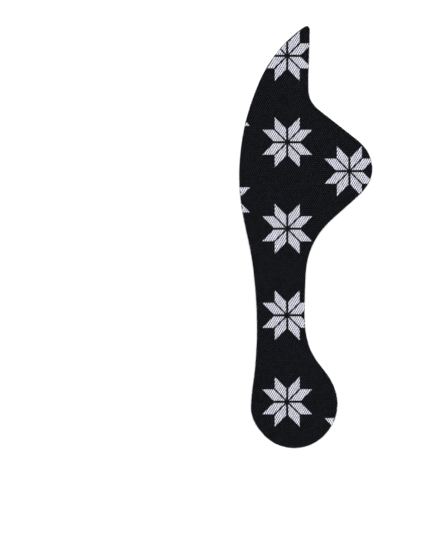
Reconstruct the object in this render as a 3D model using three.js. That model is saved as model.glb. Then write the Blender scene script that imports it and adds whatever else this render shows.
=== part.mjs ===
// Pronation wedge insole for a right foot, seen from above: a three-quarter insole of moulded gel,
// thick along the inner arch and thin along the outer edge, under a knitted cover.
// Millimetres. +X is the outer side of the foot, +Y the toes, +Z up. The underside lies on z = 0.

import * as THREE from 'three';

// Driving sizes
const COVER_THICKNESS = 1.0; // knit and its backing
const COVER_SHOULDER = 0.25; // rounding of the cover's upper edge
const GLUE_GAP = 0.2; // glue line between gel and cover
const GEL_TRIM = 0.6; // how far the gel's rim stays inside the cover's cut edge
const GEL_EDGE_RADIUS = 0.5; // rounding of the gel's lower edge
const WEDGE_DISH = 1.25; // power of the slope across the wedge: 1 is straight, more is dished

// The cut edge of the cover, walked from the toe tip down the inner side, round the heel and back up
// the outer side. across and along are measured from the middle of the outline's box, and heading is
// the way the edge runs there, in degrees from +X towards +Y.
const OUTLINE = [
  { place: 'toe tip', across: 0.6, along: 102.5, heading: 180 },
  { place: 'toe tip, inner side', across: -0.4, along: 102.2, heading: 212 },
  { place: 'fin, upper inner edge', across: -7.5, along: 96.6, heading: 222 },
  { place: 'fin, middle of inner edge', across: -17.3, along: 85, heading: 236 },
  { place: 'fin, root of inner edge', across: -24.5, along: 70.5, heading: 249 },
  { place: 'ball, inner edge', across: -30.4, along: 50.1, heading: 260 },
  { place: 'widest point, inner side', across: -32.3, along: 29.1, heading: 270 },
  { place: 'front of the arch', across: -29.7, along: 6.6, heading: 282 },
  { place: 'arch, inner edge', across: -26, along: -12, heading: 278 },
  { place: 'waist, inner edge', across: -23.7, along: -45.1, heading: 270 },
  { place: 'heel neck, inner edge', across: -24.6, along: -63.2, heading: 265 },
  { place: 'heel, inner side', across: -26.6, along: -82.8, heading: 270 },
  { place: 'heel, inner corner of the back', across: -20.2, along: -96.2, heading: 313 },
  { place: 'heel, back', across: -5.4, along: -102.5, heading: 0 },
  { place: 'heel, outer corner of the back', across: 9.1, along: -96.2, heading: 46 },
  { place: 'heel, outer side', across: 15.4, along: -81.3, heading: 90 },
  { place: 'heel neck, outer edge', across: 9, along: -64.9, heading: 128 },
  { place: 'foot of the waist, outer edge', across: 1.9, along: -53.8, heading: 110 },
  { place: 'waist, outer edge', across: -0.6, along: -38.1, heading: 90 },
  { place: 'head of the waist, outer edge', across: 0, along: -18, heading: 87 },
  { place: 'bay under the bump', across: 2.9, along: -4.9, heading: 67 },
  { place: 'bump, start of lower flank', across: 11.8, along: 7.7, heading: 43 },
  { place: 'bump, end of lower flank', across: 25.9, along: 20.4, heading: 43 },
  { place: 'bump, nose', across: 32.3, along: 32.9, heading: 90 },
  { place: 'bump, start of upper flank', across: 26.1, along: 46.2, heading: 140 },
  { place: 'bump, end of upper flank', across: 5.9, along: 62.2, heading: 141 },
  { place: 'notch under the fin', across: 1.3, along: 71.2, heading: 92 },
  { place: 'fin, middle of outer edge', across: 1.5, along: 86.3, heading: 88 },
  { place: 'toe tip, outer side', across: 1.9, along: 100.7, heading: 90 },
];

// Height of the gel's top along the length, at the inner and at the outer edge, and how far the inner
// wall leans in for each millimetre that it goes down.
const SECTIONS = [
  { place: 'heel, back', along: -102.5, inner: 1.4, outer: 1.4, lean: 0.2 },
  { place: 'heel, middle', along: -81, inner: 3.4, outer: 1.2, lean: 0.25 },
  { place: 'heel neck', along: -58, inner: 4.8, outer: 1.2, lean: 0.35 },
  { place: 'arch', along: -28, inner: 5.6, outer: 1.2, lean: 0.4 },
  { place: 'front of the arch', along: 2, inner: 4.8, outer: 1.2, lean: 0.4 },
  { place: 'ball', along: 34, inner: 3.2, outer: 1.2, lean: 0.35 },
  { place: 'fin, root', along: 68, inner: 2.2, outer: 1.1, lean: 0.65 },
  { place: 'fin, middle', along: 86, inner: 1.6, outer: 1.1, lean: 1.0 },
  { place: 'toe tip', along: 102.5, inner: 1.0, outer: 1.0, lean: 0.2 },
];
const OUTER_LEAN = 0.2;

// Looks: glossy near-black gel and matte black knit
const GEL_LOOK = new THREE.MeshStandardMaterial({ color: 0x0d0d10, roughness: 0.2, metalness: 0 });
const KNIT_LOOK = new THREE.MeshStandardMaterial({ color: 0x1b1b20, roughness: 0.9, metalness: 0 });

// Fineness of the faceted skin
const STEPS_PER_SPAN = 24;
const ROWS = 100;
const COLUMNS = 6;
const EDGE_STEPS = 3;
const TINY = 1e-6; // a turn or a width below this counts as none

const radians = THREE.MathUtils.degToRad;

// One span of the outline: a cubic whose handles are those of a circular arc with the same turn.
function outlineSpan(from, to) {
  const start = new THREE.Vector2(from.across, from.along);
  const end = new THREE.Vector2(to.across, to.along);
  const turn = radians(THREE.MathUtils.euclideanModulo(to.heading - from.heading + 180, 360) - 180);
  const arcShare = Math.abs(turn) < TINY ? 1 / 3 : (2 / 3) * Math.tan(turn / 4) / Math.sin(turn / 2);
  const handle = start.distanceTo(end) * arcShare;
  const reach = (heading, length) =>
    new THREE.Vector2(Math.cos(radians(heading)), Math.sin(radians(heading))).multiplyScalar(length);
  return new THREE.CubicBezierCurve(
    start,
    start.clone().add(reach(from.heading, handle)),
    end.clone().sub(reach(to.heading, handle)),
    end,
  );
}

// The edge from one station to another as closely spaced points with the way into the material.
function edgeSamples(first, last) {
  const samples = [];
  for (let index = first; index < last; index += 1) {
    const span = outlineSpan(OUTLINE[index], OUTLINE[(index + 1) % OUTLINE.length]);
    for (let step = index === first ? 0 : 1; step <= STEPS_PER_SPAN; step += 1) {
      const share = step / STEPS_PER_SPAN;
      const forward = span.getTangent(share);
      samples.push({ point: span.getPoint(share), inward: new THREE.Vector2(-forward.y, forward.x) });
    }
  }
  return samples;
}

const heelBack = OUTLINE.findIndex((station) => station.place === 'heel, back');
const innerEdge = edgeSamples(0, heelBack).reverse();
const outerEdge = edgeSamples(heelBack, OUTLINE.length);

// An edge moved into the material by inset(point, side).
function movedEdge(edge, side, inset) {
  return edge.map(({ point, inward }) => point.clone().addScaledVector(inward, inset(point, side)));
}

const innerCut = movedEdge(innerEdge, 'inner', () => 0);
const outerCut = movedEdge(outerEdge, 'outer', () => 0);

// Where an edge first crosses a line across the insole, or its end if it stops short of the line. Both
// edges run from the heel to the toe.
function crossing(edge, along) {
  const ahead = edge.findIndex((point) => point.y >= along);
  if (ahead < 0) return edge.at(-1).clone();
  const high = edge[Math.max(ahead, 1)];
  const low = edge[Math.max(ahead, 1) - 1];
  const share = THREE.MathUtils.clamp((along - low.y) / (high.y - low.y), 0, 1);
  return low.clone().lerp(high, share);
}

// How far along the two edges meet at the toe, found by halving the stretch that holds the place.
function toeEnd(inner, outer) {
  let apart = 0;
  let met = OUTLINE[0].along;
  for (let halving = 0; halving < 50; halving += 1) {
    const middle = (apart + met) / 2;
    if (crossing(outer, middle).x - crossing(inner, middle).x > TINY) apart = middle;
    else met = middle;
  }
  return met;
}

// The values of one column of SECTIONS as a smooth function of the place along the insole.
function sectionColumn(column) {
  const places = SECTIONS.map((section) => section.along);
  const values = SECTIONS.map((section) => section[column]);
  const curve = new THREE.CubicInterpolant(places, values, 1, new Float32Array(1));
  return (along) => curve.evaluate(along)[0];
}

const innerHeight = sectionColumn('inner');
const outerHeight = sectionColumn('outer');
const innerLean = sectionColumn('lean');

// Height of the gel's top at a point of the plan.
function gelTop(point) {
  const inner = crossing(innerCut, point.y).x;
  const outer = crossing(outerCut, point.y).x;
  const share = outer - inner < TINY ? 0 : THREE.MathUtils.clamp((point.x - inner) / (outer - inner), 0, 1);
  const rise = innerHeight(point.y) - outerHeight(point.y);
  return outerHeight(point.y) + rise * (1 - share) ** WEDGE_DISH;
}

// Rows across the insole from the heel to the toe, close together at both round ends. Each holds a point
// on the inner and one on the outer edge, moved into the material by inset(edgePoint, side).
function rowsAcross(inset) {
  const innerLine = movedEdge(innerEdge, 'inner', inset);
  const outerLine = movedEdge(outerEdge, 'outer', inset);
  const heel = innerLine[0].y;
  const toe = toeEnd(innerLine, outerLine);
  const rows = [];
  for (let row = 0; row <= ROWS; row += 1) {
    const along = THREE.MathUtils.lerp(heel, toe, (1 - Math.cos((Math.PI * row) / ROWS)) / 2);
    const inner = crossing(innerLine, along);
    const isEnd = row === 0 || row === ROWS;
    rows.push({ inner, outer: isEnd ? inner.clone() : crossing(outerLine, along) });
  }
  return rows;
}

// The rim of the rows as one closed loop, anticlockwise from above, at height(point, side).
function rim(rows, height) {
  const corner = (point, side) => new THREE.Vector3(point.x, point.y, height(point, side));
  const innerSide = rows.map((row) => corner(row.inner, 'inner')).reverse();
  const outerSide = rows.slice(1, -1).map((row) => corner(row.outer, 'outer'));
  return [...innerSide, ...outerSide];
}

// A closed skin gathered from triangles, from which those with no area are left out.
class Skin {
  corners = [];

  triangle(a, b, c) {
    if (a.equals(b) || b.equals(c) || c.equals(a)) return;
    this.corners.push(a, b, c);
  }

  // A wall between two loops of equally many points, the lower one first.
  wall(lower, upper) {
    lower.forEach((corner, index) => {
      const next = (index + 1) % lower.length;
      this.triangle(corner, lower[next], upper[next]);
      this.triangle(corner, upper[next], upper[index]);
    });
  }

  // A face over the rows, pointing up or down.
  face(rows, columns, height, up) {
    const grid = rows.map(({ inner, outer }) =>
      Array.from({ length: columns + 1 }, (unused, column) => {
        const point = inner.clone().lerp(outer, column / columns);
        return new THREE.Vector3(point.x, point.y, height(point));
      }));
    for (let row = 0; row < ROWS; row += 1) {
      for (let column = 0; column < columns; column += 1) {
        const near = [grid[row][column], grid[row][column + 1]];
        const far = [grid[row + 1][column + 1], grid[row + 1][column]];
        const [a, b, c, d] = up ? [...near, ...far] : [...near, ...far].reverse();
        this.triangle(a, b, c);
        this.triangle(a, c, d);
      }
    }
  }

  mesh(name, material) {
    const geometry = new THREE.BufferGeometry().setFromPoints(this.corners);
    geometry.computeVertexNormals();
    const mesh = new THREE.Mesh(geometry, material);
    mesh.name = name;
    return mesh;
  }
}

// Gel body: a flat underside, a lower edge rounded up into a leaning wall, and the wedge's sloping top.
function gelWedge() {
  const skin = new Skin();
  const lean = (point, side) => (side === 'inner' ? innerLean(point.y) : OUTER_LEAN);
  const turned = (point, side, share) => Math.atan2(1, lean(point, side)) * share;
  const lift = (point, side, share) => GEL_EDGE_RADIUS * (1 - Math.cos(turned(point, side, share)));
  const reach = (point, side, share) => GEL_EDGE_RADIUS * Math.sin(turned(point, side, share));
  const wallFoot = (point, side) => GEL_TRIM + lean(point, side) * (gelTop(point) - lift(point, side, 1));

  const loops = [];
  for (let step = 0; step <= EDGE_STEPS; step += 1) {
    const share = step / EDGE_STEPS;
    const rows = rowsAcross((point, side) =>
      wallFoot(point, side) + reach(point, side, 1) - reach(point, side, share));
    if (step === 0) skin.face(rows, 1, () => 0, false);
    loops.push(rim(rows, (point, side) => lift(point, side, share)));
  }
  const topRows = rowsAcross(() => GEL_TRIM);
  loops.push(rim(topRows, gelTop));
  loops.slice(1).forEach((upper, index) => skin.wall(loops[index], upper));
  skin.face(topRows, COLUMNS, gelTop, true);

  return skin.mesh('gel_wedge', GEL_LOOK);
}

// Knitted cover: a sheet that follows the gel's top, cut square at its edge with a soft upper shoulder.
function topCover() {
  const skin = new Skin();
  const underside = (point) => gelTop(point) + GLUE_GAP;
  const shoulder = (point) => underside(point) + COVER_THICKNESS - COVER_SHOULDER;
  const upside = (point) => underside(point) + COVER_THICKNESS;

  const cutRows = rowsAcross(() => 0);
  const topRows = rowsAcross(() => COVER_SHOULDER);
  const shoulderLoop = rim(cutRows, shoulder);
  skin.face(cutRows, COLUMNS, underside, false);
  skin.wall(rim(cutRows, underside), shoulderLoop);
  skin.wall(shoulderLoop, rim(topRows, upside));
  skin.face(topRows, COLUMNS, upside, true);

  return skin.mesh('top_cover', KNIT_LOOK);
}

const insole = new THREE.Group();
insole.name = 'pronation_wedge_insole';
insole.add(gelWedge(), topCover());

export default insole;
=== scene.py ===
# %% [markdown]
# # A wedge insole in gel and knit
#
# This lesson dresses a small insole for a right foot. The real one has two layers: a glossy black gel
# wedge, thick along the inner arch and thin along the outer edge, and a knitted cover that is glued
# over it and trimmed with a blade. The CAD model already holds both layers at their true size, so
# Blender only has to make them look like gel and like knitting.
#
# Everything is in metres, in the CAD model's own frame: +Y runs to the toes, +X to the outer side of
# the foot, and the flat underside lies on z = 0.

# %% Load the CAD model as a fixed frame
import math

import bmesh
import bpy
import numpy as np
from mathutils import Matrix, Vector
from mathutils.bvhtree import BVHTree
from mathutils.kdtree import KDTree


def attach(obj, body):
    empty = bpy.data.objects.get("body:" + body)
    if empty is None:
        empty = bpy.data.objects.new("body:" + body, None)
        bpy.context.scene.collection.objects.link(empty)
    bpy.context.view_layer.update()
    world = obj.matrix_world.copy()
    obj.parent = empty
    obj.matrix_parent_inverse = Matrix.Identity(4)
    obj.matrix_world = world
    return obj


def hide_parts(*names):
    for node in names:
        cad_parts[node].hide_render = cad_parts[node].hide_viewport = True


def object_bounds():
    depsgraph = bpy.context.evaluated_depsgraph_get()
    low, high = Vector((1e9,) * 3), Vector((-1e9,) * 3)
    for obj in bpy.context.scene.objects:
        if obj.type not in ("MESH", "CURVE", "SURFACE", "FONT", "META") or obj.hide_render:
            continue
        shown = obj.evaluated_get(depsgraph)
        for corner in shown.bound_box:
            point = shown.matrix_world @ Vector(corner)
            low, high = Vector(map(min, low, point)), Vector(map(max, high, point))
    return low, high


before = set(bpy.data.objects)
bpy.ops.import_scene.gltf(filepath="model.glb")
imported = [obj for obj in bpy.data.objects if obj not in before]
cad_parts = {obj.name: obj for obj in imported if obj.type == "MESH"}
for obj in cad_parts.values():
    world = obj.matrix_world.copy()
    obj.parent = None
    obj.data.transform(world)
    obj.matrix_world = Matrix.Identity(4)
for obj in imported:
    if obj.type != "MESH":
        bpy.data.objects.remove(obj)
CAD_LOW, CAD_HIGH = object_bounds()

MM = 0.001
print("CAD box in mm:", [round(side / MM, 2) for side in CAD_HIGH - CAD_LOW])

# %% [markdown]
# ## The camera
#
# The photograph looks straight down on the insole, so the camera does too. It stands high with a long
# lens, as in a product shot, which keeps the outline free of perspective. It could be aimed by eye,
# but three things read off the picture are enough to work it out: where the middle of the outline
# falls, how long the insole is in pixels, and the size of the frame.

# %% Stand the camera over the picture's middle
PHOTO_PX = (447, 540)
INSOLE_MIDDLE_PX = (305.7, 237.0)
INSOLE_LENGTH_PX = 422.3
CAMERA_DISTANCE = 1.5
SENSOR_MM = 36.0

insole_middle = (CAD_LOW + CAD_HIGH) / 2
metres_per_px = (CAD_HIGH.y - CAD_LOW.y) / INSOLE_LENGTH_PX

lens = bpy.data.cameras.new("overhead_camera")
lens.sensor_width = SENSOR_MM
lens.lens = SENSOR_MM * CAMERA_DISTANCE / (PHOTO_PX[1] * metres_per_px)
camera = bpy.data.objects.new("overhead_camera", lens)
camera.location = (
    insole_middle.x + (PHOTO_PX[0] / 2 - INSOLE_MIDDLE_PX[0]) * metres_per_px,
    insole_middle.y - (PHOTO_PX[1] / 2 - INSOLE_MIDDLE_PX[1]) * metres_per_px,
    insole_middle.z + CAMERA_DISTANCE,
)
bpy.context.scene.collection.objects.link(camera)
bpy.context.scene.camera = camera
print(f"lens {lens.lens:.1f} mm, {metres_per_px / MM:.4f} mm for each pixel")

# %% [markdown]
# ## The outline
#
# Both layers share one outline. The CAD solids are faceted, so their edges are short straight steps. A
# subdivision modifier would round them, but it would also draw the outline in, so curves are laid
# through the solids' own rims instead. Three rims are enough to rebuild everything more finely: the
# foot of the gel, the top of the gel, and the lower edge of the cover. The foot runs round the flat
# underside, and the other two run where faces meet at a sharp angle.

# %% Join the corners of the CAD solids
CORNER_MERGE = 0.002 * MM


def merged_copy(node):
    """A copy of a CAD node's faces with their shared corners joined."""
    copy = bmesh.new()
    copy.from_mesh(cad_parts[node].data)
    bmesh.ops.remove_doubles(copy, verts=copy.verts, dist=CORNER_MERGE)
    return copy


gel_solid = merged_copy("gel_wedge")
cover_solid = merged_copy("top_cover")
print("corners:", len(gel_solid.verts), "on the gel,", len(cover_solid.verts), "on the cover")

# %% Walk the three rims from the toe tip down the inner side
RIM_ANGLE = math.radians(75)
STRAIGHT_DOWN = -0.9999


def is_fold(edge):
    return edge.calc_face_angle() > RIM_ANGLE


def is_foot(edge):
    return sum(face.normal.z < STRAIGHT_DOWN for face in edge.link_faces) == 1


def walk_rim(solid, is_rim):
    """The corners along a rim, down the inner side and back up the outer side."""
    neighbours = {}
    for edge in solid.edges:
        if len(edge.link_faces) == 2 and is_rim(edge):
            for here, there in (edge.verts, reversed(edge.verts)):
                neighbours.setdefault(here, []).append(there)
    toe = max(neighbours, key=lambda corner: corner.co.y)
    walked = [toe, min(neighbours[toe], key=lambda corner: corner.co.x)]
    while walked[-1] is not toe:
        walked += [corner for corner in neighbours[walked[-1]] if corner is not walked[-2]]
    return np.array([corner.co for corner in walked[:-1]])


foot_corners = walk_rim(gel_solid, is_foot)
rim_corners = walk_rim(gel_solid, is_fold)
cut_corners = walk_rim(cover_solid, is_fold)
print("corners on each rim:", len(foot_corners), len(rim_corners), len(cut_corners))

# %% Round the rims with a smooth curve through every corner
FINER = 4


def rounded(loop):
    """A closed loop of points with FINER - 1 new ones on a smooth curve after each."""
    before, here, after, beyond = (np.roll(loop, shift, axis=0) for shift in (1, 0, -1, -2))
    steps = []
    for t in np.arange(FINER) / FINER:
        steps.append(here + 0.5 * t * (after - before + t * (
            2 * before - 5 * here + 4 * after - beyond + t * (3 * (here - after) + beyond - before))))
    return np.stack(steps, axis=1).reshape(-1, 3)


gel_foot = rounded(foot_corners)
gel_rim = rounded(rim_corners)
cut_edge = rounded(cut_corners)
RIM_POINTS = len(cut_edge)
HEEL = RIM_POINTS // 2
assert len(gel_foot) == len(gel_rim) == RIM_POINTS

ahead = np.roll(cut_edge, -1, axis=0) - np.roll(cut_edge, 1, axis=0)
inward = np.stack([-ahead[:, 1], ahead[:, 0], np.zeros(RIM_POINTS)], axis=1)
inward /= np.linalg.norm(inward, axis=1, keepdims=True)
rim_length = np.linalg.norm(np.diff(cut_edge, axis=0, append=cut_edge[:1]), axis=1).sum()
print(f"{RIM_POINTS} points round the cut edge, {rim_length / MM:.0f} mm long")

# %% [markdown]
# ## A loft of rings
#
# Gel and cloth are both made as lofts: rings of points that follow the outline, walls between them,
# and a face over the first and the last ring. Blender can fill such a face by itself, but with long
# thin triangles that shade badly on a curved top. A point on the inner side and its partner on the
# outer side lie on one line across the insole, so here a face is filled with rows that run from partner
# to partner.

# %% A helper that gathers rings, walls and faces


class Loft:
    """Gathers the points and faces of one piece."""

    def __init__(self):
        self.points = []
        self.faces = []

    def ring(self, points):
        """Adds points and gives back their numbers."""
        first = len(self.points)
        self.points += [tuple(point) for point in points]
        return list(range(first, len(self.points)))

    def walls(self, rings):
        for lower, upper in zip(rings, rings[1:]):
            for here in range(RIM_POINTS):
                there = (here + 1) % RIM_POINTS
                self.faces.append((lower[here], lower[there], upper[there], upper[here]))

    def cap(self, ring, columns, height, up):
        """Fills a ring with rows from the toe to the heel, at height(x, y)."""
        rows = []
        shares = np.arange(1, columns) / columns
        for row in range(1, HEEL):
            inner = np.array(self.points[ring[row]])
            outer = np.array(self.points[ring[-row]])
            between = [inner + (outer - inner) * share for share in shares]
            between = self.ring((x, y, height(x, y)) for x, y, z in between)
            rows.append([ring[row], *between, ring[-row]])
        for upper, lower in zip(rows, rows[1:]):
            for column in range(columns):
                self.add((upper[column], lower[column], lower[column + 1], upper[column + 1]), up)
        for column in range(columns):
            self.add((ring[0], rows[0][column], rows[0][column + 1]), up)
            self.add((ring[HEEL], rows[-1][column + 1], rows[-1][column]), up)

    def add(self, corners, up):
        self.faces.append(corners if up else corners[::-1])

    def piece(self, name):
        mesh = bpy.data.meshes.new(name)
        mesh.from_pydata(self.points, [], self.faces)
        mesh.shade_smooth()
        piece = bpy.data.objects.new(name, mesh)
        bpy.context.scene.collection.objects.link(piece)
        print(f"{name}: {len(self.points)} points, {len(self.faces)} faces")
        return piece


print(f"a face has {HEEL - 1} rows from the toe to the heel")

# %% [markdown]
# ## The gel body
#
# The wedge is cast in one piece, so it has no seams: a flat underside, a rounded lower edge, a wall
# that leans in towards the underside, and a sloping top that the cover hides. A bevel modifier could
# round its edges, but it would round them all alike. A casting's edge is rounder below, where the
# mould was polished, than above, where the cover was glued on. So the lower edge is drawn as an arc of
# rings and the upper one as a narrow slant, between the CAD solid's own rims.

# %% Rays that measure heights
FAR = 1.0

gel_tree = BVHTree.FromBMesh(gel_solid)
cover_tree = BVHTree.FromBMesh(cover_solid)


def top_height(tree, x, y):
    return tree.ray_cast(Vector((x, y, FAR)), Vector((0, 0, -1)))[0].z


def underside_height(tree, x, y):
    return tree.ray_cast(Vector((x, y, -FAR)), Vector((0, 0, 1)))[0].z


print(f"gel {top_height(gel_tree, *insole_middle.xy) / MM:.1f} mm thick at the middle")

# %% Find where the gel's wall leaves its rounded lower edge
FOOT_RADIUS = 0.5 * MM
UP = np.array([0, 0, 1.0])

lean = (gel_rim - gel_foot)[:, :2]
wall_run = np.linalg.norm(lean, axis=1)
wall_rise = gel_rim[:, 2] - FOOT_RADIUS
outward = np.column_stack([lean / wall_run[:, None], np.zeros(RIM_POINTS)])
foot_turn = (math.pi / 2 + np.arctan2(wall_rise, wall_run)
             - np.arccos(FOOT_RADIUS / np.hypot(wall_run, wall_rise)))
print(f"wall {gel_rim[:, 2].min() / MM:.1f} to {gel_rim[:, 2].max() / MM:.1f} mm high,",
      f"leaning by up to {wall_run.max() / MM:.1f} mm")

# %% Loft the gel
UNDERSIDE_BAND = 0.4 * MM
FOOT_STEPS = 6
WALL_STEPS = 5
TOP_SLANT = 0.2 * MM
GEL_COLUMNS = 14

gel = Loft()
gel_rings = [gel.ring(gel_foot - outward * UNDERSIDE_BAND)]
for step in range(FOOT_STEPS + 1):
    turned = (foot_turn * step / FOOT_STEPS)[:, None]
    wall_foot = gel_foot + FOOT_RADIUS * (outward * np.sin(turned) + UP * (1 - np.cos(turned)))
    gel_rings.append(gel.ring(wall_foot))
wall_head = gel_rim - UP * TOP_SLANT
for step in range(1, WALL_STEPS + 1):
    gel_rings.append(gel.ring(wall_foot + (wall_head - wall_foot) * step / WALL_STEPS))
gel_rings.append(gel.ring(gel_rim - outward * TOP_SLANT))
gel.walls(gel_rings)
gel.cap(gel_rings[0], GEL_COLUMNS, lambda x, y: 0.0, up=False)
gel.cap(gel_rings[-1], GEL_COLUMNS, lambda x, y: top_height(gel_tree, x, y), up=True)
gel_body = gel.piece("gel_body")

# %% [markdown]
# ## The cover's backing
#
# Under the visible stitches the cover is a felted backing, close on a millimetre thick, that was cut
# through with a blade. A plane with a Solidify modifier would have a straight, clean wall, and no
# blade leaves one in felt. So the wall is lofted through a bulging profile, and its edge wanders by a
# few hundredths of a millimetre. The backing's top lies a little below the CAD cover's top, which
# leaves room for the stitches, and its underside is pressed down onto the glue.

# %% Measure the cover and let the cut wander
STITCH_ROOM = 0.25 * MM
GLUE_PRESS = 0.15 * MM
MEASURE_INSET = 1.0 * MM
CUT_WANDER = 0.05 * MM
CUT_SEED = 7

inside_cut = (cut_edge + inward * MEASURE_INSET)[:, :2]
cover_thickness = np.median([
    top_height(cover_tree, x, y) - underside_height(cover_tree, x, y) for x, y in inside_cut])
backing_rise = cover_thickness - STITCH_ROOM + GLUE_PRESS
wander = np.random.default_rng(CUT_SEED).normal(0, CUT_WANDER, RIM_POINTS)
wander = (wander + np.roll(wander, 1) + np.roll(wander, -1)) / 2
print(f"cover {cover_thickness / MM:.2f} mm thick, backing {backing_rise / MM:.2f} mm,",
      f"cut off its line by {np.abs(wander).mean() / MM:.3f} mm on average")

# %% Loft the backing
COVER_COLUMNS = 26
CUT_PROFILE = [
    {"inset": 0.12 * MM, "share": 0.0},
    {"inset": 0.04 * MM, "share": 0.12},
    {"inset": 0.02 * MM, "share": 0.40},
    {"inset": 0.04 * MM, "share": 0.70},
    {"inset": 0.10 * MM, "share": 0.92},
    {"inset": 0.24 * MM, "share": 1.0},
]

backing = Loft()
backing_rings = []
for line in CUT_PROFILE:
    inset = np.maximum(line["inset"] + wander * (line["share"] < 1), 0)
    lift = backing_rise * line["share"] - GLUE_PRESS
    backing_rings.append(backing.ring(cut_edge + inward * inset[:, None] + UP * lift))
backing.walls(backing_rings)
backing.cap(backing_rings[0], COVER_COLUMNS,
            lambda x, y: underside_height(cover_tree, x, y) - GLUE_PRESS, up=False)
below_top = len(backing.points)
backing.cap(backing_rings[-1], COVER_COLUMNS,
            lambda x, y: top_height(cover_tree, x, y) - STITCH_ROOM, up=True)
cover_backing = backing.piece("cover_backing")

# %% Mark the backing's top, which the ink can reach
crown = cover_backing.data.attributes.new("crown", "FLOAT", "POINT")
on_top = np.arange(len(backing.points)) >= below_top
on_top[backing_rings[-1]] = True
crown.data.foreach_set("value", on_top.astype(np.float32))
print(f"{on_top.sum()} of {len(on_top)} points are on top")

# %% [markdown]
# ## The knitting chart
#
# The knit has about seven thousand stitches: wales a little over a millimetre apart, and rows that are
# each shifted by half a wale. A bump map would show them from straight above, but it goes flat at the
# edge and in raking light, so each stitch will be a small piece of yarn. These cells only work out
# where they sit. Stitches that the blade would only nick are drawn in from the edge, and so crowd
# together a little there.

# %% Chart wales and rows, turned a little with the cloth
WALE_PITCH = 1.08 * MM
ROW_PITCH = 0.955 * MM
KNIT_TURN = math.radians(-1.2)
CHART_MARGIN = 3

half_wales = math.ceil(CAD_HIGH.x / WALE_PITCH) + CHART_MARGIN
half_rows = math.ceil(CAD_HIGH.y / ROW_PITCH) + CHART_MARGIN
rows, wales = np.mgrid[-half_rows:half_rows + 1, -half_wales:half_wales + 1]
knit_x = (wales + 0.5 * (rows % 2)) * WALE_PITCH
knit_y = rows * ROW_PITCH
chart = np.column_stack([
    (knit_x * math.cos(KNIT_TURN) - knit_y * math.sin(KNIT_TURN)).ravel(),
    (knit_x * math.sin(KNIT_TURN) + knit_y * math.cos(KNIT_TURN)).ravel(),
])
print(f"{rows.shape[0]} rows of {rows.shape[1]} wales")

# %% Trim the chart to the cut edge
STITCH_HALF = (0.31 * MM, 0.62 * MM)
CUT_AWAY = 0.08 * MM

rim_tree = KDTree(RIM_POINTS)
for index, (x, y, z) in enumerate(cut_edge):
    rim_tree.insert((x, y, 0), index)
rim_tree.balance()

nearest = [rim_tree.find((x, y, 0))[1] for x, y in chart]
way_in = inward[nearest, :2]
gap = ((chart - cut_edge[nearest, :2]) * way_in).sum(axis=1)
room = np.linalg.norm(way_in * STITCH_HALF, axis=1)
drawn_in = np.maximum(room - gap, 0)[:, None] * way_in
stitches = (chart + drawn_in)[gap > CUT_AWAY]
print(f"{len(stitches)} stitches")

# %% [markdown]
# ## Wiring nodes
#
# Both Geometry Nodes and shaders are trees of nodes. They could be drawn by hand in the editor, but a
# script can be read and run again. This helper adds a node, sets its options, and fills its inputs by
# name, with a value or with another node's output. An underscore in a name stands for a space.

# %% A helper for node trees


def named(sockets, name):
    """The socket in use that has this name. A node may hide others with the same name."""
    return next(socket for socket in sockets if socket.enabled and socket.name == name)


def output(node, name):
    return named(node.outputs, name)


class Wiring:
    """Adds nodes to a tree and joins them."""

    def __init__(self, tree):
        self.tree = tree

    def add(self, kind, options=None, **inputs):
        node = self.tree.nodes.new(kind)
        for option, value in (options or {}).items():
            setattr(node, option, value)
        for name, value in inputs.items():
            self.feed(node, name.replace("_", " "), value)
        return node

    def take(self, wanted, kind, options=None, **inputs):
        """Adds a node and takes the output that is wanted."""
        return output(self.add(kind, options, **inputs), wanted)

    def feed(self, node, name, value):
        self.fill(named(node.inputs, name), value)

    def fill(self, socket, value):
        if isinstance(value, bpy.types.NodeSocket):
            self.tree.links.new(value, socket)
        else:
            socket.default_value = value

    def sums(self, kind, operation, values):
        node = self.add(kind, {"operation": operation})
        for socket, value in zip(node.inputs, values):
            self.fill(socket, value)
        return node.outputs[0]

    def math(self, operation, *values):
        return self.sums("ShaderNodeMath", operation, values)

    def vectors(self, operation, *values):
        return self.sums("ShaderNodeVectorMath", operation, values)

    def vector(self, x=0.0, y=0.0, z=0.0):
        return self.take("Vector", "ShaderNodeCombineXYZ", X=x, Y=y, Z=z)

    def ramp(self, value, low, high, first=0.0, last=1.0):
        """Goes from first to last as a value goes from low to high."""
        return self.take("Result", "ShaderNodeMapRange", Value=value, From_Min=low, From_Max=high,
                         To_Min=first, To_Max=last)

    def blend(self, share, one, other):
        """Mixes two colours."""
        return self.take("Result", "ShaderNodeMix", {"data_type": "RGBA"}, Factor=share, A=one, B=other)


print("helpers for node trees:", named.__name__, output.__name__, Wiring.__name__)

# %% [markdown]
# ## The printed stars
#
# Pale stars are printed on the black knit, each with eight slanting petals, a figure from old winter
# knitwear. They stand in columns, and each column is shifted against the last. A picture would need an
# image file, but the star is simple enough to draw with sums: fold the surface over its columns and
# rows until every spot falls into one eighth of one star, and measure how far it lies inside the petal
# there.
#
# The group also takes a reach, so that ink can spread a little further where the yarn stands proud.

# %% A group that says where the ink is
STAR_WIDTH = 24.0 * MM
STAR_PETAL = STAR_WIDTH / 4
STAR_LINE = 0.6 * MM
STAR_FIRST = (-9.0 * MM, -80.0 * MM)
STAR_COLUMNS = 30.2 * MM
STAR_ROWS = 42.0 * MM
STAR_SHIFT = 28.0 * MM
INK_SOFT = 0.08 * MM


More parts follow.
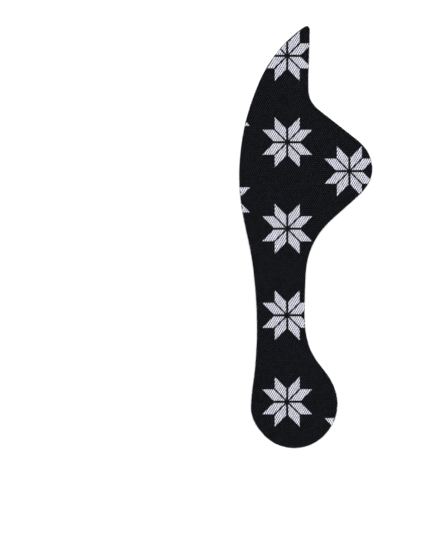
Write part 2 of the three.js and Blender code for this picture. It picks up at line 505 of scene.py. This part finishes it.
def group_tree(name, inputs, outputs):
    """A shader node group, with its inputs' names and first values and its outputs' names."""
    kinds = {float: "NodeSocketFloat", tuple: "NodeSocketColor"}
    tree = bpy.data.node_groups.new(name, "ShaderNodeTree")
    for label, value in inputs.items():
        socket = tree.interface.new_socket(label, in_out="INPUT", socket_type=kinds[type(value)])
        socket.default_value = value
    for label, kind in outputs.items():
        tree.interface.new_socket(label, in_out="OUTPUT", socket_type=kinds[kind])
    return Wiring(tree), tree.nodes.new("NodeGroupInput").outputs, tree.nodes.new("NodeGroupOutput")


def make_star_print():
    wire, given, result = group_tree("star_print", {"Reach": 0.0}, {"Ink": float})
    place = wire.take("Object", "ShaderNodeTexCoord")
    spot = wire.add("ShaderNodeSeparateXYZ", Vector=place)
    across = wire.math("SUBTRACT", output(spot, "X"), STAR_FIRST[0])
    along = wire.math("SUBTRACT", output(spot, "Y"), STAR_FIRST[1])
    column = wire.math("ROUND", wire.math("DIVIDE", across, STAR_COLUMNS))
    along = wire.math("SUBTRACT", along, wire.math("MULTIPLY", column, STAR_SHIFT))
    across = wire.math("PINGPONG", across, STAR_COLUMNS / 2)
    along = wire.math("PINGPONG", along, STAR_ROWS / 2)
    near = wire.math("MINIMUM", across, along)
    slant = wire.math("SUBTRACT", wire.math("MAXIMUM", across, along), near)
    from_line = wire.math("SUBTRACT", wire.math("MINIMUM", near, slant), STAR_LINE)
    from_edge = wire.math("SUBTRACT", STAR_PETAL, wire.math("MAXIMUM", near, slant))
    inside = wire.math("ADD", wire.math("MINIMUM", from_line, from_edge), given["Reach"])
    wire.feed(result, "Ink", wire.ramp(inside, -INK_SOFT, INK_SOFT))
    return wire.tree


star_print = make_star_print()
print(f"group {star_print.name}: stars {STAR_WIDTH / MM:.0f} mm across")

# %% [markdown]
# ## Yarn
#
# The yarn is a dull filament: fine fibres run along it, and its tone differs from stitch to stitch.
# Hair curves could show each fibre, but thousands of stitches would need millions of them. So a second
# group draws the fibres as streaks, for any colour, and gives a height for the bump as well. It reads
# a tone from 0 to 1 that each stitch and each cut end carries.

# %% A group for fibres
FIBRE_WIDTH = 0.07 * MM
FIBRE_LENGTH = 0.6 * MM
FIBRE_DETAIL = 2.0
MIDDLE_TONE = 0.5


def make_fibres():
    wire, given, result = group_tree(
        "yarn_fibres", {"Yarn": (0.5, 0.5, 0.5, 1.0), "Streaks": 0.2, "Tone Spread": 0.2},
        {"Color": tuple, "Height": float})

    def about_middle(value, spread):
        return wire.math("MULTIPLY", wire.math("SUBTRACT", value, MIDDLE_TONE), spread)

    place = wire.take("Object", "ShaderNodeTexCoord")
    drawn = wire.take("Vector", "ShaderNodeMapping", Vector=place,
                      Scale=(1 / FIBRE_WIDTH, 1 / FIBRE_LENGTH, 1 / FIBRE_WIDTH))
    fibres = wire.take("Fac", "ShaderNodeTexNoise", Vector=drawn, Scale=1.0, Detail=FIBRE_DETAIL)
    tone = wire.take("Fac", "ShaderNodeAttribute", {"attribute_name": "tone"})
    streak = about_middle(fibres, given["Streaks"])
    spread = about_middle(tone, given["Tone Spread"])
    level = wire.math("ADD", wire.math("ADD", streak, spread), 1.0)
    grey = wire.vector(level, level, level)
    wire.feed(result, "Color", wire.vectors("MULTIPLY", given["Yarn"], grey))
    wire.feed(result, "Height", fibres)
    return wire.tree


yarn_fibres = make_fibres()
print(f"group {yarn_fibres.name}: fibres {FIBRE_WIDTH / MM:.2f} mm wide")

# %% [markdown]
# ## The printed knit's finish
#
# The knit is black yarn with ink on it. A second material for the pale stitches would give each of them
# one colour, but ink crosses a stitch wherever a petal ends, so one material does both. It reads a
# crown from each stitch, which is 0 underneath and 1 on top. The ink lies thick on the crowns and thins
# out down in the gaps, which is why a printed knit looks dotted from close by. The black yarn gets
# painted shade: its colour is darkened down its flanks and into the gaps and is full only on its crowns,
# so they stand out like lit tops. Ink and yarn each get their fibres from the group, and the shader
# itself stays in the material.

# %% Black yarn under pale ink
BLACK_YARN = {"Yarn": (0.0130, 0.0145, 0.0201, 1.0), "Streaks": 0.4, "Tone_Spread": 0.8}
PALE_INK = {"Yarn": (0.625, 0.63, 0.71, 1.0), "Streaks": 0.2, "Tone_Spread": 0.2}
YARN_ROUGHNESS = 0.5
INK_ROUGHNESS = 0.75
INKED_CROWNS = (0.35, 0.7)
# crowns over which the black yarn goes from painted shade to its full colour
PAINTED_SHADE_CROWNS = (0.80, 0.92)
INK_REACH = 0.2 * MM
REACH_CROWN = 0.7
KNIT_SHINE = 0.02
KNIT_BUMP = {"Strength": 0.35, "Distance": 0.03 * MM}


def new_material(name):
    material = bpy.data.materials.new(name)
    material.use_nodes = True
    return material, Wiring(material.node_tree), material.node_tree.nodes["Principled BSDF"]


def finish(wire, shader, colour, roughness, shine, height, bump):
    """Joins colour, roughness, shine and bump to a material's shader."""
    relief = wire.take("Normal", "ShaderNodeBump", Height=height, **bump)
    wire.feed(shader, "Base Color", colour)
    wire.feed(shader, "Roughness", roughness)
    wire.feed(shader, "Normal", relief)
    wire.feed(shader, "Specular IOR Level", shine)


def knit_finish():
    material, wire, shader = new_material("printed_knit")
    crown = wire.take("Fac", "ShaderNodeAttribute", {"attribute_name": "crown"})
    yarn = wire.add("ShaderNodeGroup", {"node_tree": yarn_fibres}, **BLACK_YARN)
    paint = wire.take("Color", "ShaderNodeGroup", {"node_tree": yarn_fibres}, **PALE_INK)
    reach = wire.math("MULTIPLY", wire.math("SUBTRACT", crown, REACH_CROWN), INK_REACH)
    stars = wire.take("Ink", "ShaderNodeGroup", {"node_tree": star_print}, Reach=reach)
    ink = wire.math("MULTIPLY", stars, wire.ramp(crown, *INKED_CROWNS))
    # painted shade: black yarn dark on its flanks and in the gaps, full colour on its crowns
    painted_shade = wire.ramp(crown, *PAINTED_SHADE_CROWNS)
    black = wire.vectors("MULTIPLY", output(yarn, "Color"), wire.vector(painted_shade, painted_shade, painted_shade))
    colour = wire.blend(ink, black, paint)
    dull = wire.ramp(ink, 0.0, 1.0, YARN_ROUGHNESS, INK_ROUGHNESS)
    finish(wire, shader, colour, dull, KNIT_SHINE, output(yarn, "Height"), KNIT_BUMP)
    return material


printed_knit = knit_finish()
print("finish:", printed_knit.name)

# %% [markdown]
# ## Growing a mesh from points
#
# Thousands of stitches are too many to place by hand, and a loop in a script is slow. A Geometry Nodes
# tree is quick, and it runs as a modifier. Here it runs once on a throwaway carrier, and the result is
# kept as a plain mesh that needs no modifier any more. Inputs are set by their identifiers, which the
# tree hands out.

# %% Helpers that start a tree and grow a piece from it


def geometry_tree(name, inputs):
    """A tree with named inputs, and the identifiers to set them by."""
    tree = bpy.data.node_groups.new(name, "GeometryNodeTree")
    tree.interface.new_socket("Geometry", in_out="OUTPUT", socket_type="NodeSocketGeometry")
    tree.interface.new_socket("Geometry", in_out="INPUT", socket_type="NodeSocketGeometry")
    names = {}
    for label, kind in inputs.items():
        socket = tree.interface.new_socket(label, in_out="INPUT", socket_type="NodeSocket" + kind)
        names[label] = socket.identifier
    print(f"tree {name} with inputs", ", ".join(names))
    return Wiring(tree), tree.nodes.new("NodeGroupInput").outputs, names


def grown(name, tree, names, points, edges, settings):
    """Runs a tree on loose points or edges and keeps the result as a plain mesh."""
    start = bpy.data.meshes.new(name + "_start")
    start.from_pydata(points, edges, [])
    carrier = bpy.data.objects.new(name + "_start", start)
    bpy.context.scene.collection.objects.link(carrier)
    modifier = carrier.modifiers.new(name, "NODES")
    modifier.node_group = tree
    for label, value in settings.items():
        modifier[names[label]] = value
    depsgraph = bpy.context.evaluated_depsgraph_get()
    mesh = bpy.data.meshes.new_from_object(
        carrier.evaluated_get(depsgraph), preserve_all_data_layers=True, depsgraph=depsgraph)
    mesh.name = name
    bpy.data.objects.remove(carrier)
    bpy.data.meshes.remove(start)
    piece = bpy.data.objects.new(name, mesh)
    bpy.context.scene.collection.objects.link(piece)
    mesh.calc_loop_triangles()
    print(f"{name}: {len(mesh.loop_triangles)} triangles")
    return piece


print("helpers for growing:", geometry_tree.__name__, grown.__name__)

# %% Random draws, stored numbers and the end of a tree
FIRST_DRAW = 1
SIZE_DRAWS = (2, 3, 4)


def uneven(wire, given, draw, middle=0.0):
    """A number about a middle for each stitch or end, off it by up to the tree's unevenness."""
    spread = given["Unevenness"]
    return wire.take("Value", "FunctionNodeRandomValue", {"data_type": "FLOAT"},
                     Min=wire.math("SUBTRACT", middle, spread), Max=wire.math("ADD", middle, spread),
                     Seed=wire.math("ADD", given["Seed"], draw))


def uneven_size(wire, given):
    return wire.vector(*(uneven(wire, given, draw, 1.0) for draw in SIZE_DRAWS))


def stored(wire, geometry, name, value, kind="FLOAT", domain="POINT"):
    """Stores a value on a geometry under a name, by which materials and maps can read it."""
    options = {"data_type": kind, "domain": domain}
    return wire.take("Geometry", "GeometryNodeStoreNamedAttribute", options,
                     Geometry=geometry, Name=name, Value=value)


def toned(wire, given, instances):
    """Gives each instance a tone of its own, from 0 to 1, and makes the instances real."""
    tone = wire.take("Value", "FunctionNodeRandomValue", {"data_type": "FLOAT"}, Seed=given["Seed"])
    return wire.take("Geometry", "GeometryNodeRealizeInstances",
                     Geometry=stored(wire, instances, "tone", tone, domain="INSTANCE"))


def dyed(wire, given, geometry):
    """Ends a tree with its material."""
    dye = wire.take("Geometry", "GeometryNodeSetMaterial", Geometry=geometry, Material=given["Yarn"])
    wire.feed(wire.tree.nodes.new("NodeGroupOutput"), "Geometry", dye)


print("random draws for each stitch or end:", FIRST_DRAW, *SIZE_DRAWS)

# %% [markdown]
# ## Stitches
#
# Each stitch shows as two plump legs of yarn side by side, closer at the foot than at the head, and the
# yarn's twist slants both of them a little. An Array modifier could repeat one stitch, but every copy
# would be the same and would lie flat. So a tree drops each charted point onto the backing, turns it to
# the surface, and sets a stitch there, with a little of the unevenness that knitting has. It also lays
# a map for baking: the crowns in one half, the undersides in the other, as they would otherwise lie on
# top of each other.

# %% One stitch
LEG_SIDES = 6
LEG_RINGS = 5


def make_stitch(wire, given):
    def half(name):
        return wire.math("MULTIPLY", given[name], 0.5)

    ball = wire.take("Mesh", "GeometryNodeMeshUVSphere", Segments=LEG_SIDES, Rings=LEG_RINGS, Radius=1.0)
    lying = wire.take("Geometry", "GeometryNodeTransform", Geometry=ball, Rotation=(math.pi / 2, 0, 0))
    place = wire.take("Position", "GeometryNodeInputPosition")
    height = wire.take("Z", "ShaderNodeSeparateXYZ", Vector=place)
    crowned = stored(wire, lying, "crown", wire.ramp(height, -1.0, 1.0))
    slim = wire.take("Geometry", "GeometryNodeTransform", Geometry=crowned,
                     Scale=wire.vector(half("Leg Width"), half("Leg Length"), half("Leg Rise")))
    both = wire.add("GeometryNodeJoinGeometry")
    for side in (-1, 1):
        lean = wire.math("ADD", given["Slant"], wire.math("MULTIPLY", given["Leg Lean"], -side))
        leg = wire.take("Geometry", "GeometryNodeTransform", Geometry=slim,
                        Translation=wire.vector(x=wire.math("MULTIPLY", half("Leg Spread"), side)),
                        Rotation=wire.vector(z=lean))
        wire.fill(both.inputs[0], leg)
    return wire.take("Geometry", "GeometryNodeSetShadeSmooth", Geometry=output(both, "Geometry"))


print(f"a leg has {LEG_SIDES} sides and {LEG_RINGS} rings")

# %% A tree that sets stitches on the backing
BAKE_MAP = "OFBake"


def mapped(wire, given, geometry):
    """Lays the map for baking as seen from above, with what faces up and down in two halves."""
    place = wire.take("Position", "GeometryNodeInputPosition")
    share = wire.vectors("DIVIDE", wire.vectors("SUBTRACT", place, given["Map Low"]), given["Map Size"])
    share = wire.add("ShaderNodeSeparateXYZ", Vector=share)
    normal = wire.take("Normal", "GeometryNodeInputNormal")
    rise = wire.take("Z", "ShaderNodeSeparateXYZ", Vector=normal)
    upper = wire.take("Value", "GeometryNodeFieldOnDomain", {"domain": "FACE", "data_type": "FLOAT"},
                      Value=wire.math("GREATER_THAN", rise, 0.0))
    along = wire.math("MULTIPLY", wire.math("ADD", output(share, "Y"), upper), 0.5)
    return stored(wire, geometry, BAKE_MAP, wire.vector(output(share, "X"), along), "FLOAT2", "CORNER")


def make_stitch_tree():
    wire, given, names = geometry_tree("stitches", {
        "Backing": "Object", "Leg Width": "Float", "Leg Length": "Float", "Leg Rise": "Float",
        "Leg Spread": "Float", "Leg Lean": "Float", "Slant": "Float", "Unevenness": "Float",
        "Seed": "Int", "Map Low": "Vector", "Map Size": "Vector", "Yarn": "Material"})
    here = wire.take("Position", "GeometryNodeInputPosition")
    surface = wire.take("Geometry", "GeometryNodeObjectInfo", {"transform_space": "ORIGINAL"},
                        Object=given["Backing"])
    drop = wire.add("GeometryNodeRaycast", Target_Geometry=surface, Source_Position=here,
                    Ray_Direction=(0, 0, -1), Ray_Length=FAR)
    kept = wire.add("GeometryNodeCaptureAttribute", Geometry=given["Geometry"])
    kept.capture_items.new("VECTOR", "Normal")
    wire.feed(kept, "Normal", output(drop, "Hit Normal"))
    placed = wire.take("Geometry", "GeometryNodeSetPosition", Geometry=output(kept, "Geometry"),
                       Position=output(drop, "Hit Position"))
    upright = wire.take("Rotation", "FunctionNodeAlignRotationToVector", {"axis": "Z"},
                        Vector=output(kept, "Normal"))
    twist = wire.take("Rotation", "FunctionNodeEulerToRotation",
                      Euler=wire.vector(z=uneven(wire, given, FIRST_DRAW)))
    turned = wire.take("Rotation", "FunctionNodeRotateRotation", {"rotation_space": "LOCAL"},
                       Rotation=upright, Rotate_By=twist)
    size = uneven_size(wire, given)
    laid = wire.take("Instances", "GeometryNodeInstanceOnPoints", Points=placed,
                     Instance=make_stitch(wire, given), Rotation=turned, Scale=size)
    dyed(wire, given, mapped(wire, given, toned(wire, given, laid)))
    return wire.tree, names


stitch_tree, stitch_names = make_stitch_tree()

# %% Knit the cover in four stretches from heel to toe
STITCH = {"Leg Width": 0.38 * MM, "Leg Length": 1.46 * MM, "Leg Rise": 0.46 * MM,
          "Leg Spread": 0.22 * MM, "Leg Lean": math.radians(9), "Slant": math.radians(-12),
          "Unevenness": 0.07}
STRETCHES = ["knit_heel", "knit_waist", "knit_ball", "knit_fin"]
DROP_FROM = 0.05
MAP_MARGIN = 2 * MM


def knitted(name, spots, seed):
    points = np.column_stack([spots, np.full(len(spots), DROP_FROM)])
    low, high = spots.min(axis=0) - MAP_MARGIN, spots.max(axis=0) + MAP_MARGIN
    bake_map = {"Map Low": (*low, 0.0), "Map Size": (*(high - low), 1.0)}
    return grown(name, stitch_tree, stitch_names, points, [],
                 {"Backing": cover_backing, "Yarn": printed_knit, "Seed": seed, **STITCH, **bake_map})


by_row = stitches[np.argsort(stitches[:, 1], kind="stable")]
shares = np.array_split(by_row, len(STRETCHES))
knit_pieces = [knitted(name, spots, seed) for seed, (name, spots) in enumerate(zip(STRETCHES, shares))]

# %% [markdown]
# ## Cut ends of yarn
#
# Where the blade went through, the cover's edge shows the cut ends of its yarns as a fine dotted line,
# a little greyer than the knit. A speckled material could draw the dots, but the edge would stay
# smooth. So a second tree turns two loops round the cut into curves, sets a small round end about every
# half millimetre, and lets each sit a little higher or lower than the last.

# %% A tree that sets ends along loops
END_SIDES = 5
END_RINGS = 4


def make_end_tree():
    wire, given, names = geometry_tree("yarn_ends", {
        "Pitch": "Float", "End Width": "Float", "End Height": "Float", "End Depth": "Float",
        "Stray": "Float", "Unevenness": "Float", "Seed": "Int", "Yarn": "Material"})
    curve = wire.take("Curve", "GeometryNodeMeshToCurve", Mesh=given["Geometry"])
    level = wire.take("Curve", "GeometryNodeSetCurveNormal", {"mode": "Z_UP"}, Curve=curve)
    spots = wire.add("GeometryNodeCurveToPoints", {"mode": "LENGTH"}, Curve=level, Length=given["Pitch"])
    share = wire.math("DIVIDE", uneven(wire, given, FIRST_DRAW), given["Unevenness"])
    stray = wire.math("MULTIPLY", share, given["Stray"])
    moved = wire.take("Geometry", "GeometryNodeSetPosition", Geometry=output(spots, "Points"),
                      Offset=wire.vector(z=stray))
    ball = wire.take("Mesh", "GeometryNodeMeshUVSphere", Segments=END_SIDES, Rings=END_RINGS, Radius=0.5)
    end = wire.take("Geometry", "GeometryNodeTransform", Geometry=ball,
                    Scale=wire.vector(given["End Depth"], given["End Height"], given["End Width"]))
    smooth = wire.take("Geometry", "GeometryNodeSetShadeSmooth", Geometry=end)
    size = uneven_size(wire, given)
    laid = wire.take("Instances", "GeometryNodeInstanceOnPoints", Points=moved, Instance=smooth,
                     Rotation=output(spots, "Rotation"), Scale=size)
    dyed(wire, given, toned(wire, given, laid))
    return wire.tree, names


end_tree, end_names = make_end_tree()

# %% The ends, in two rows round the cut
END = {"Pitch": 0.46 * MM, "End Width": 0.44 * MM, "End Height": 0.40 * MM, "End Depth": 0.34 * MM,
       "Stray": 0.09 * MM, "Unevenness": 0.2, "Seed": 31}
END_LEVELS = (0.30, 0.68)
END_INSET = 0.07 * MM
CUT_YARN = {"Yarn": (0.017, 0.0165, 0.02, 1.0), "Streaks": 0.6, "Tone_Spread": 1.2}
CUT_YARN_ROUGHNESS = 0.85
CUT_YARN_SHINE = 0.15
CUT_YARN_BUMP = {"Strength": 0.5, "Distance": 0.03 * MM}


def end_finish():
    material, wire, shader = new_material("cut_yarn")
    yarn = wire.add("ShaderNodeGroup", {"node_tree": yarn_fibres}, **CUT_YARN)
    finish(wire, shader, output(yarn, "Color"), CUT_YARN_ROUGHNESS, CUT_YARN_SHINE,
           output(yarn, "Height"), CUT_YARN_BUMP)
    return material


end_lifts = [backing_rise * share - GLUE_PRESS for share in END_LEVELS]
loops = [cut_edge + inward * END_INSET + UP * lift for lift in end_lifts]
loop_starts = range(0, RIM_POINTS * len(loops), RIM_POINTS)
loop_edges = [(start + step, start + (step + 1) % RIM_POINTS)
              for start in loop_starts for step in range(RIM_POINTS)]
yarn_ends = grown("yarn_ends", end_tree, end_names, np.concatenate(loops), loop_edges,
                  {**END, "Yarn": end_finish()})

# %% [markdown]
# ## Gel and backing finishes
#
# The gel is cast in a polished mould, so it is glossy and almost black. A plain glossy black would look
# drawn, so it gets faint ripples where it shrank, dull smudges from handling, and specks of dust, all
# from noise and cells on its surface. The backing is a dull black felt that shows only between the
# stitches, where some of the ink has soaked through to it. Its black is set far darker than the yarn's,
# so the gaps between the stitches carry painted shade as well as the felt's own colour.

# %% Gel
GEL_BLACK = (0.0035, 0.0035, 0.004, 1.0)
GEL_ROUGHNESS = (0.10, 0.16)
GEL_SHINE = 0.5
RIPPLE_LENGTH = 14 * MM
RIPPLE_DETAIL = 1.0
RIPPLE_BUMP = {"Strength": 0.25, "Distance": 0.15 * MM}
SMUDGE_LENGTH = 25 * MM
SMUDGE_DETAIL = 4.0
SMUDGE_LEVELS = (0.45, 0.75)
SPECK_GREY = (0.03, 0.03, 0.032, 1.0)
SPECK_PITCH = 7 * MM
SPECK_RIM = 0.045
SPECK_CORE = 0.027


def gel_finish():
    material, wire, shader = new_material("black_gel")
    place = wire.take("Object", "ShaderNodeTexCoord")
    ripples = wire.take("Fac", "ShaderNodeTexNoise", Vector=place, Scale=1 / RIPPLE_LENGTH,
                        Detail=RIPPLE_DETAIL)
    smudges = wire.take("Fac", "ShaderNodeTexNoise", Vector=place, Scale=1 / SMUDGE_LENGTH,
                        Detail=SMUDGE_DETAIL)
    dull = wire.ramp(smudges, *SMUDGE_LEVELS, *GEL_ROUGHNESS)
    specks = wire.take("Distance", "ShaderNodeTexVoronoi", Vector=place, Scale=1 / SPECK_PITCH)
    tint = wire.blend(wire.ramp(specks, SPECK_RIM, SPECK_CORE), GEL_BLACK, SPECK_GREY)
    finish(wire, shader, tint, dull, GEL_SHINE, ripples, RIPPLE_BUMP)
    return material


gel_body.data.materials.append(gel_finish())
print("finish:", gel_body.data.materials[0].name)

# %% Felt
# two tones of the felt's grain, both far below the yarn's black: the felt's own colour plus painted
# shade in the gaps
FELT_DARK = (0.0005, 0.0005, 0.0007, 1.0)
FELT_PALE = (0.0025, 0.0025, 0.0035, 1.0)
FELT_ROUGHNESS = 0.95
FELT_SHINE = 0.1
FELT_GRAIN = 0.25 * MM
FELT_DETAIL = 3.0
FELT_BUMP = {"Strength": 0.6, "Distance": 0.08 * MM}
SOAKED = 0.12


def felt_finish():
    material, wire, shader = new_material("black_felt")
    place = wire.take("Object", "ShaderNodeTexCoord")
    grain = wire.take("Fac", "ShaderNodeTexNoise", Vector=place, Scale=1 / FELT_GRAIN,
                      Detail=FELT_DETAIL)
    felt = wire.blend(grain, FELT_DARK, FELT_PALE)
    stars = wire.take("Ink", "ShaderNodeGroup", {"node_tree": star_print})
    top = wire.take("Fac", "ShaderNodeAttribute", {"attribute_name": "crown"})
    soaked = wire.math("MULTIPLY", wire.math("MULTIPLY", stars, top), SOAKED)
    tint = wire.blend(soaked, felt, PALE_INK["Yarn"])
    finish(wire, shader, tint, FELT_ROUGHNESS, FELT_SHINE, grain, FELT_BUMP)
    return material


cover_backing.data.materials.append(felt_finish())
print("finish:", cover_backing.data.materials[0].name)

# %% [markdown]
# ## Floor and light
#
# A white floor and large soft lights, as for a catalogue. One bright white world would be simpler, but
# the gel would mirror it and turn grey. So the lights are few and the world is dim, and the gel stays
# black, with clear highlights along its edges.

# %% Three soft lights
LIGHTS = [
    {"name": "overhead_light", "place": (-0.2, 0.15, 2.0), "size": 1.4, "power": 30},
    {"name": "key_light", "place": (-1.0, 0.6, 1.3), "size": 1.0, "power": 14.5},
    {"name": "fill_light", "place": (1.0, -0.3, 1.3), "size": 1.0, "power": 13.5},
]


def soft_light(name, place, size, power):
    data = bpy.data.lights.new(name, "AREA")
    data.shape = "DISK"
    data.size = size
    data.energy = power
    light = bpy.data.objects.new(name, data)
    light.location = place
    light.rotation_euler = (-Vector(place)).to_track_quat("-Z", "Y").to_euler()
    bpy.context.scene.collection.objects.link(light)


for light in LIGHTS:
    soft_light(**light)
print("lights:", [item.name for item in bpy.data.lights])

# %% A white floor and a dim world
FLOOR_HALF = 1.5
FLOOR_WHITE = (0.92, 0.92, 0.92, 1.0)
FLOOR_ROUGHNESS = 0.8
WORLD_WHITE = (1.0, 1.0, 1.0, 1.0)
WORLD_STRENGTH = 0.3

floor_mesh = bpy.data.meshes.new("floor")
floor_mesh.from_pydata(
    [(x * FLOOR_HALF, y * FLOOR_HALF, 0) for x, y in ((-1, -1), (1, -1), (1, 1), (-1, 1))],
    [], [(0, 1, 2, 3)])
floor = bpy.data.objects.new("floor", floor_mesh)
bpy.context.scene.collection.objects.link(floor)
white_paint, wire, shader = new_material("white_floor")
wire.feed(shader, "Base Color", FLOOR_WHITE)
wire.feed(shader, "Roughness", FLOOR_ROUGHNESS)
floor_mesh.materials.append(white_paint)

world = bpy.data.worlds.new("studio")
world.use_nodes = True
backdrop = world.node_tree.nodes["Background"]
backdrop.inputs["Color"].default_value = WORLD_WHITE
backdrop.inputs["Strength"].default_value = WORLD_STRENGTH
bpy.context.scene.world = world
bpy.context.scene.view_settings.view_transform = "Standard"
print("stage:", floor.name, "and world", world.name)

# %% [markdown]
# ## Fastening the pieces to the model
#
# Each piece is tied to the CAD model's root body, which it rides on. The pieces are listed by the
# record's finish that they belong to, and the CAD nodes for the gel and the cover are hidden, since the
# new pieces stand for them.

# %% Tie the pieces to the frame
finished_in = {"gel": [gel_body], "knit": [cover_backing, yarn_ends, *knit_pieces]}
for slot, pieces in finished_in.items():
    for piece in pieces:
        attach(piece, "root")
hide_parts("gel_wedge")
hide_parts("top_cover")
